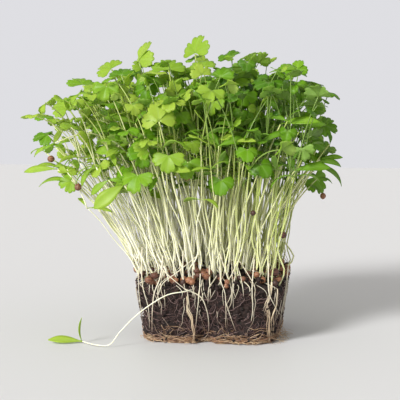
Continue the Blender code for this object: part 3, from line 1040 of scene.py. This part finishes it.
chance = random.Random(29)
for row in range(ROWS):
    stems, leaves = Growth(), Growth()
    back = (row + 0.5) / ROWS * 2 - 1
    row_count = PER_ROW if 0 < row < ROWS - 1 else PER_ROW // 2
    for number in range(row_count):
        share = 2 * (number + between(0, 1)) / row_count - 1
        x = (share - 0.12 * (1 - share * share)) * (TOP_HALF - 3 * MM)
        y = back * (TOP_HALF - 4 * MM) + between(-4, 4) * MM
        angle = atan2(y, x)
        limit = block_radius(angle, TOP_HALF - 2.5 * MM)
        if hypot(x, y) > limit:
            x, y = limit * cos(angle), limit * sin(angle)
        foot = Vector((x, y, ground(x, y) - FOOT_SET))
        u, v = x / TOP_HALF, y / TOP_HALF
        length = between(50, 84) * MM
        lean_x = (-0.36 * abs(u) ** 1.6 if u < 0 else 0.15 * u**1.6) + chance.gauss(0, 0.08)
        if chance.random() < 0.4 and abs(u) > 0.35:
            lean_x += -between(0.05, 0.3) if u < 0 else between(0, 0.12)
        lean_y = 0.24 * v * abs(v) ** 0.6 + chance.gauss(0, 0.06)
        node = foot + Vector((lean_x, lean_y, 1)).normalized() * length
        node.y = max(-REACH_Y, min(REACH_Y, node.y))
        kink = Vector((chance.gauss(0, 1), chance.gauss(0, 1), 0)) * 3.3 * MM
        # Painted shade: stems and their stalks further right go darker and greener along the stem colours,
        # and those on the left paler, as the light falls from the left; the rest of this value is a random
        # tone.
        shade = between(-0.08, 0.14) + 0.28 * (u + 0.3)
        line = stem_line(foot, node, between(0, 6.3), kink)
        add_strand(stems, line, between(0.38, 0.58) * MM, 6, shade, 0.75)
        # Painted light: each leaf's tone rises towards the left, where the light falls, and drops towards
        # the right; the spread round it is a random age.
        age_and_light = min(1.0, max(0, chance.gauss(min(0.80, 0.46 - 0.46 * node.x / (60 * MM)), 0.22)))
        spin = between(0, 360)
        if chance.random() < SEED_LEAF_SHARE:
            for side in (0, 180):
                heading = spin + side + between(-25, 25)
                turn = pointed(heading, between(0, 60), between(-35, 35))
                size = between(11, 19) * MM
                width = size * between(0.22, 0.34)
                add_seed_leaf(leaves, node, turn, size, width, between(0.2, 1.6), age_and_light, 10)
        for _ in range(chance.choice((1, 1, 2, 2, 2))):
            rise = between(14, 62) * MM
            side_lean = (-0.46 if u < 0 else 0.14) * abs(u) + chance.gauss(0, 0.18)
            lean = Vector((side_lean, 0.2 * v + chance.gauss(0, 0.2), 1))
            end = node + lean.normalized() * rise
            end.z = min(end.z, crown_limit(end.x) - between(0, 1) ** 2 * 45 * MM)
            end.z = max(end.z, node.z - 1 * MM)
            end.y = max(-REACH_Y - 3 * MM, min(REACH_Y + 3 * MM, end.y))
            start = node - Vector((0, 0, 0.6 * MM))
            add_stalk(stems, start, end, between(0.32, 0.46) * MM, shade + 0.12)
            heading = degrees(atan2(lean.y, lean.x)) + between(-110, 110)
            pitch = chance.choice((-1, 1, 1)) * between(0, 70)
            turn = pointed(heading, pitch, between(-30, 30))
            size = between(5.5, 9.5) * MM
            tone = min(1.0, max(0, age_and_light + chance.gauss(0.0, 0.14)))
            is_fan = chance.random() < FAN_SHARE
            bend, pleat = between(-0.1, 1.1), between(0.04, 0.26)
            if is_fan:
                add_fan(leaves, end, turn, size * 1.05, tone, bend, pleat)
            else:
                add_trefoil(leaves, end, turn, size, tone, bend, pleat)
    stems.piece(f"stand_stems_{row + 1}", stem_green, "stem")
    leaves.piece(f"stand_leaves_{row + 1}", leaf_green, "leaf")

# Trailing seedling. One seedling fell out of the front of the block; its white stem arches
# down to the surface, and its two seed leaves lie and stand at the end.
TRAIL = [
    (-8, -42, 31), (-12, -46, 30.6), (-22, -49, 28.5), (-36, -50, 19), (-46, -51, 9), (-52, -53, 1.6),
    (-60, -52, 1.1), (-69, -44, 1.1),
]
trail = Growth()
trail_line = smooth_route([Vector(point) * MM for point in TRAIL], 7)
add_strand(trail, trail_line, 0.33 * MM, 8, 0.12, 1.0)
trail.piece("fallen_stem", stem_green, "stem", ["trailing_stem"])
fallen = Growth()
add_seed_leaf(fallen, trail_line[-1], pointed(192, 9, -34), 19 * MM, 5.6 * MM, 0.25, 0.95, 20, 0.2)
fallen.piece("fallen_leaf_flat", leaf_green, "leaf", ["trailing_leaf_flat"])
raised = Growth()
add_seed_leaf(raised, trail_line[-1], pointed(170, 58), 14 * MM, 3.0 * MM, -1.1, 0.8, 20)
raised.piece("fallen_leaf_raised", leaf_green, "leaf", ["trailing_leaf_raised"])

# Floor, light and camera. A plain pale table top that ends behind the plug, under soft
# daylight from the front left, seen from a little above and to the right of its front.
FLOOR_PALE = (0.615, 0.62, 0.635, 1)
FLOOR_CORNERS = [(-4, -3, 0), (4, -3, 0), (4, 1.15, 0), (-4, 1.15, 0)]
SKY_LOW = (0.735, 0.735, 0.765, 1)
SKY_HIGH = (0.60, 0.58, 0.55, 1)
SUN_STRENGTH = 4.3
SUN_WIDTH = radians(17)
SUN_COLOUR = (1, 0.985, 0.96)
SUN_HEADING = Vector((0.49, 0.72, -0.49))
CAMERA_AZIMUTH = radians(7)
CAMERA_DISTANCE = 0.8
CAMERA_HEIGHT = 0.1618
CAMERA_ASIDE = -8.5 * MM
CAMERA_LENS = 126
SENSOR_WIDTH = 36
CAMERA_PITCH = radians(6.1)
table = bpy.data.meshes.new("table")
table.from_pydata(FLOOR_CORNERS, [], [(0, 1, 2, 3)])
floor_finish, _ = new_finish("pale_table", Roughness=0.55, Base_Color=FLOOR_PALE)
table.materials.append(floor_finish)
put_in_scene("table", table)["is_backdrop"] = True

studio = bpy.data.worlds.new("studio")
bpy.context.scene.world = studio
studio.use_nodes = True
split = add_node(studio, "SeparateXYZ")
fade = colour_ramp(studio, [(0.08, SKY_LOW), (0.5, SKY_HIGH)])
backing = studio.node_tree.nodes["Background"]
backing.inputs["Strength"].default_value = 1.0
link_nodes(studio, [
    (add_node(studio, "TexCoord"), "Generated", split, "Vector"),
    (split, "Z", fade, "Fac"),
    (fade, "Color", backing, "Color"),
])

daylight = bpy.data.lights.new("window_light", "SUN")
daylight.energy = SUN_STRENGTH
daylight.angle = SUN_WIDTH
daylight.color = SUN_COLOUR
window = put_in_scene("window_light", daylight)
window.rotation_euler = SUN_HEADING.to_track_quat("-Z", "Y").to_euler()

aside = Vector((cos(CAMERA_AZIMUTH), sin(CAMERA_AZIMUTH), 0)) * CAMERA_ASIDE
back = Vector((sin(CAMERA_AZIMUTH), -cos(CAMERA_AZIMUTH), 0))
view = bpy.data.cameras.new("view")
view.lens = CAMERA_LENS
view.sensor_width = SENSOR_WIDTH
eye = put_in_scene("view", view)
eye.location = aside + back * CAMERA_DISTANCE + Vector((0, 0, CAMERA_HEIGHT))
look = -back * cos(CAMERA_PITCH) - Vector((0, 0, sin(CAMERA_PITCH)))
eye.rotation_euler = look.to_track_quat("-Z", "Y").to_euler()
bpy.context.scene.camera = eye
bpy.context.scene.view_settings.view_transform = "Standard"

low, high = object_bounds()
